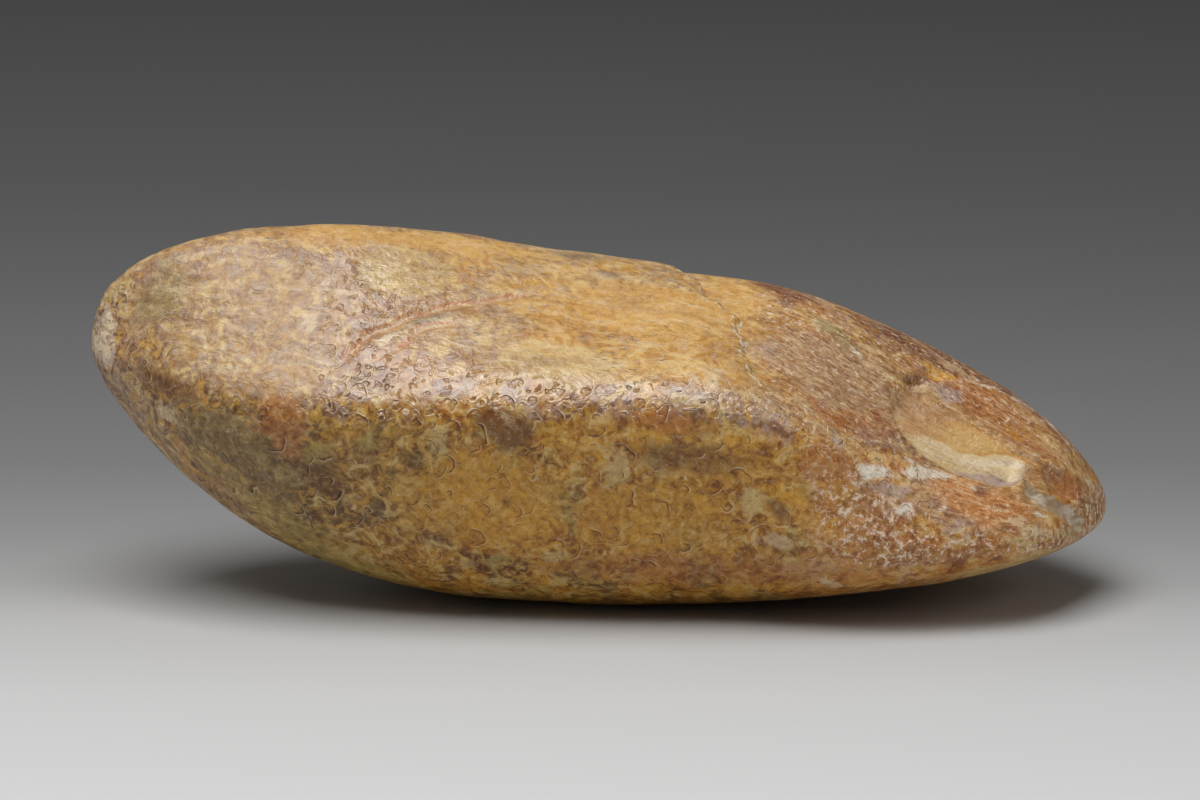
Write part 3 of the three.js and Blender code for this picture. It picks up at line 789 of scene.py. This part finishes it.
def washed(under, name, cover):
    """A colour multiplied by a wash, by how much the wash covers."""
    return blended(cover, under, WASHES[name] + (1,), "MULTIPLY")


def painted(under, name, cover):
    """A paint over a colour, by how much the paint covers."""
    return blended(cover, under, PAINTS[name] + (1,))


# Clouds, mottles and stains all over, and soft streaks on top.
grey_cloud = times(eased(drifting, 0.5, 0.66), eased(upper_share, 0.0, 1.0, 0.04, 0.35))
stain_cover = times(eased(plus(stain_edge, 0.7, ragged), -0.7, 0.8), attribute("stain", "Alpha"))
colour = attribute("tint", "Color")
colour = washed(colour, "tea", times(eased(mottle, 0.53, 0.38, 0.0, 0.9), less_on_top))
colour = painted(colour, "ash brown", grey_cloud)
colour = painted(colour, "deep ochre", times(eased(drifting, 0.53, 0.38, 0.0, 0.75), less_on_top))
colour = painted(colour, "pale gold", eased(mottle, 0.53, 0.64, 0.0, 0.65))
colour = blended(stain_cover, colour, attribute("stain", "Color"))
colour = washed(colour, "fawn", times(eased(soft_run, 0.5, 0.36, 0.0, 0.4), upper_share))
colour = painted(colour, "wheat", times(eased(soft_run, 0.52, 0.66, 0.0, 0.35), upper_share))

# The thin end's front: patches of rust with cream lace round them, coarse and fine.
LACE_LEVEL = 0.44
colour = painted(colour, "dark rust", times(eased(frost, 0.50, 0.40), frosted_share, 0.7))
colour = painted(colour, "orange rust", times(eased(frost, 0.54, 0.62), frosted_share, 0.6))
for size, start in ((2.6, (2.2, 8.1, 4.4)), (1.4, (7.5, 3.3, 6.1))):
    patches = grained(vector_work("ADD", place, start), size, 2.5, 0.5, 0.8)
    thin = 0.055 * size ** -0.5
    outline = times(eased(gap(patches, LACE_LEVEL), thin, 0.3 * thin), eased(flecks, 0.46, 0.54))
    colour = painted(colour, "rust patch", times(eased(patches, 0.45, 0.43), frosted_share, 0.7))
    colour = painted(colour, "lace", times(outline, frosted_share, 0.9))
threads = times(eased(gap(frost, 0.5), 0.018, 0.006), eased(flecks, 0.46, 0.56))
colour = painted(colour, "pink lace", times(threads, frosted_share, 0.7))

# Spots, white specks at the thin end, and the flake with its grain.
spot_cover = times(eased(plus(spot_edge, 0.5, ragged), -0.3, 0.5), attribute("spot", "Alpha"))
speck_share = work("MAXIMUM", times(frosted_share, 0.9), times(streaky, 0.5))
colour = blended(spot_cover, colour, attribute("spot", "Color"))
colour = painted(colour, "white speck", times(eased(flecks, 0.60, 0.67), speck_share))
colour = blended(flake_cover, colour, attribute("flake", "Color"))
colour = washed(colour, "flake grain", times(flake_cover, eased(fibre, 0.5, 0.38, 0.0, 0.35)))
colour = washed(colour, "flake speckle", times(flake_cover, eased(speckle, 0.5, 0.36, 0.0, 0.6)))

# Streaks that run along the scar and over the top of the thin end, and clusters of dark dashes on top.
hair_cover = times(eased(hairs, 0.62, 0.68, 0.0, 0.8), eased(mottle, 0.46, 0.56, 0.15, 1.0), streaky)
dash_cover = times(eased(dashes, 0.42, 0.34), eased(clusters, 0.5, 0.6, 0.03, 0.75), off_flake,
                   eased(upper_share, 0.0, 1.0, 0.15, 1.0))
colour = washed(colour, "streak", times(eased(fibre, 0.5, 0.38, 0.0, 0.4), streaky))
colour = painted(colour, "pale streak", times(eased(fibre, 0.54, 0.66, 0.0, 0.2), streaky))
colour = painted(colour, "pale hair", hair_cover)
colour = painted(colour, "dark hair", times(eased(hairs, 0.38, 0.32, 0.0, 0.35), streaky))
colour = painted(colour, "dark dash", dash_cover)

# The crease is a red vein with paler stone along it, and the fracture a crack drawn dark as painted
# shade, with a pale lip partly painted as glints.
vein_ragged = plus(vein_far, 0.14, ragged)
crack_ragged = plus(crack_far_off, 0.1, ragged)
# The crack's dark line is painted shade.
crack_line = eased(crack_ragged, 0.3, 0.05)
crack_lip_and_glints = times(eased(gap(crack_ragged, 0.5), 0.25, 0.05), eased(flecks, 0.5, 0.58), 0.8)
colour = painted(colour, "vein halo", eased(vein_ragged, 0.9, 0.3, 0.0, 0.4))
colour = painted(colour, "red vein", eased(gap(vein_ragged, 0.5), 0.25, 0.05, 0.0, 0.8))
colour = painted(colour, "crack lip", crack_lip_and_glints)

# Fine grain all over, then each crescent's pale lip, partly painted glint, its floor darkened as painted
# shade, and its wall and the crack drawn dark as painted shade.
wall_cover = work("MAXIMUM", times(walls, eased(polished, 0.0, 1.0, 0.9, 0.5)), crack_line)
dark_lines = work("MAXIMUM", wall_cover, times(pit_wall, marked, 0.35))
colour = washed(colour, "speckle", times(eased(speckle, 0.48, 0.38, 0.0, 0.65), streaky))
colour = painted(colour, "pale speckle", times(eased(speckle, 0.54, 0.64, 0.0, 0.4), streaky))
colour = washed(colour, "fleck", times(eased(flecks, 0.46, 0.34, 0.0, 0.6), off_flake, less_on_top))
colour = painted(colour, "pale fleck", times(eased(flecks, 0.55, 0.68, 0.0, 0.3), off_flake))
colour = washed(colour, "fine grain", eased(fine, 0.48, 0.36, 0.0, 0.2))
# The pale lips are partly worn stone and partly painted glints, brighter where polished.
colour = painted(colour, "pale lip and glint", times(lips, eased(polished, 0.0, 1.0, 0.42, 0.6)))
# Painted shade: the pit floors are darkened, and the pit walls and the crack are drawn dark.
colour = washed(colour, "pit floor shade", times(floors, 0.3))
colour = washed(colour, "pit and crack shade", times(dark_lines, 0.8))
links.new(colour, shader.inputs["Base Color"])

# Waxy all over, with a coat of gloss where hands polished it. Pits and cracks stay dull.
roughness = 0.42
for pattern, change in ((polished, -0.14), (centred(flecks), 0.35), (dark_lines, 0.3), (lips, -0.12)):
    roughness = plus(roughness, change, pattern)
coat = times(eased(polished, 0.0, 1.0, 0.12, 1.0), eased(dark_lines, 0.1, 0.7, 0.6, 0.0))
links.new(roughness, shader.inputs["Roughness"])
links.new(coat, shader.inputs["Coat Weight"])
shader.inputs["Coat Roughness"].default_value = 0.22
shader.inputs["IOR"].default_value = 1.5

# The relief too fine for the mesh, in millimetres.
height = times(floors, plus(-0.14, -0.05, polished))
for pattern, rise in (
        (lips, 0.03), (flecks, 0.05), (drifting, 0.2), (times(hairs, streaky), 0.05),
        (times(frost, frosted_share), 0.25)):
    height = plus(height, rise, pattern)
relief = put("Bump", {"Strength": 1.0, "Distance": MM, "Height": height})
links.new(relief.outputs["Normal"], shader.inputs["Normal"])
links.new(relief.outputs["Normal"], shader.inputs["Coat Normal"])
mesh.materials.append(jasper)

# The ground: a wide sheet of matt paper, seen pale where the stone lies and darker far behind it, as
# painted shade for the fall of light across it. The light that it throws back on the stone is that of an
# even pale grey sheet.
GROUND_SIZE = 6
PALE_UNTIL, DARK_FROM = -0.1, 0.55
NEAR_GREY, FAR_GREY, THROWN_BACK = 0.63, 0.098, 0.6
GREYS_BETWEEN = ((0.08, 0.565), (0.13, 0.47), (0.16, 0.357), (0.195, 0.278), (0.226, 0.233),
                 (0.262, 0.19), (0.34, 0.157), (0.432, 0.13), (0.51, 0.115), (0.6, 0.104))
bpy.ops.mesh.primitive_plane_add(size=GROUND_SIZE)
ground = bpy.context.object
ground.name = "ground"
paper = bpy.data.materials.new("paper")
paper.use_nodes = True
nodes, links = paper.node_tree.nodes, paper.node_tree.links


def grey(light):
    """A grey that gives off the given share of the light."""
    return (light, light, light, 1)


farther_back = put("SeparateXYZ", {0: put("TexCoord").outputs["Object"]}).outputs["Y"]
share_back = put("MapRange", {"Value": farther_back, "From Min": PALE_UNTIL, "From Max": DARK_FROM})
shade = put("ValToRGB", {0: share_back.outputs[0]})
tones = shade.color_ramp.elements
tones[0].color, tones[1].color = grey(NEAR_GREY), grey(FAR_GREY)
for share, light in GREYS_BETWEEN:
    tones.new(share).color = grey(light)
rays = put("LightPath").outputs
seen = work("MAXIMUM", work("MAXIMUM", rays["Is Camera Ray"], rays["Is Glossy Ray"]),
            rays["Is Transmission Ray"])
matt = nodes["Principled BSDF"].inputs
links.new(blended(seen, grey(THROWN_BACK), shade.outputs[0]), matt["Base Color"])
matt["Roughness"].default_value = 0.9
ground.data.materials.append(paper)

# The studio: a large softbox overhead, a little to the left and in front, a weak one at each side, and
# a dim room.
LIT_PLACE = Vector((0, 0, 0.02))
ROOM_LIGHT = 0.1


def soft_lamp(name, stands, width, depth, watts):
    """A softbox that stands at a place and faces the stone."""
    lamp = bpy.data.lights.new(name, "AREA")
    lamp.shape = "RECTANGLE"
    lamp.size = width
    lamp.size_y = depth
    lamp.energy = watts
    holder = bpy.data.objects.new(name, lamp)
    bpy.context.scene.collection.objects.link(holder)
    holder.location = stands
    holder.rotation_euler = (LIT_PLACE - Vector(stands)).to_track_quat("-Z", "Y").to_euler()


soft_lamp("overhead_softbox", (-0.12, -0.17, 0.68), 0.55, 0.55, 5.3)
soft_lamp("left_softbox", (-0.75, 0.1, 0.34), 0.3, 0.4, 0.4)
soft_lamp("right_softbox", (0.62, -0.3, 0.42), 0.3, 0.3, 0.5)
world = bpy.data.worlds.new("room")
bpy.context.scene.world = world
world.use_nodes = True
world.node_tree.nodes["Background"].inputs["Color"].default_value = grey(1)
world.node_tree.nodes["Background"].inputs["Strength"].default_value = ROOM_LIGHT

# The camera stands in front with a long lens and looks a little down on the stone.
ELEVATION = math.radians(12)
DISTANCE = 0.65
AIM = Vector((0, 0.0014, 0.02295))
SENSOR_WIDTH, LENS = 36, 165
camera_data = bpy.data.cameras.new("camera")
camera_data.sensor_width = SENSOR_WIDTH
camera_data.lens = LENS
camera_data.clip_start = 0.01
camera = bpy.data.objects.new("camera", camera_data)
bpy.context.scene.collection.objects.link(camera)
towards = Vector((0, -math.cos(ELEVATION), math.sin(ELEVATION)))
camera.location = AIM + DISTANCE * towards
camera.rotation_euler = (-towards).to_track_quat("-Z", "Y").to_euler()
bpy.context.scene.camera = camera
bpy.context.scene.view_settings.view_transform = "Standard"
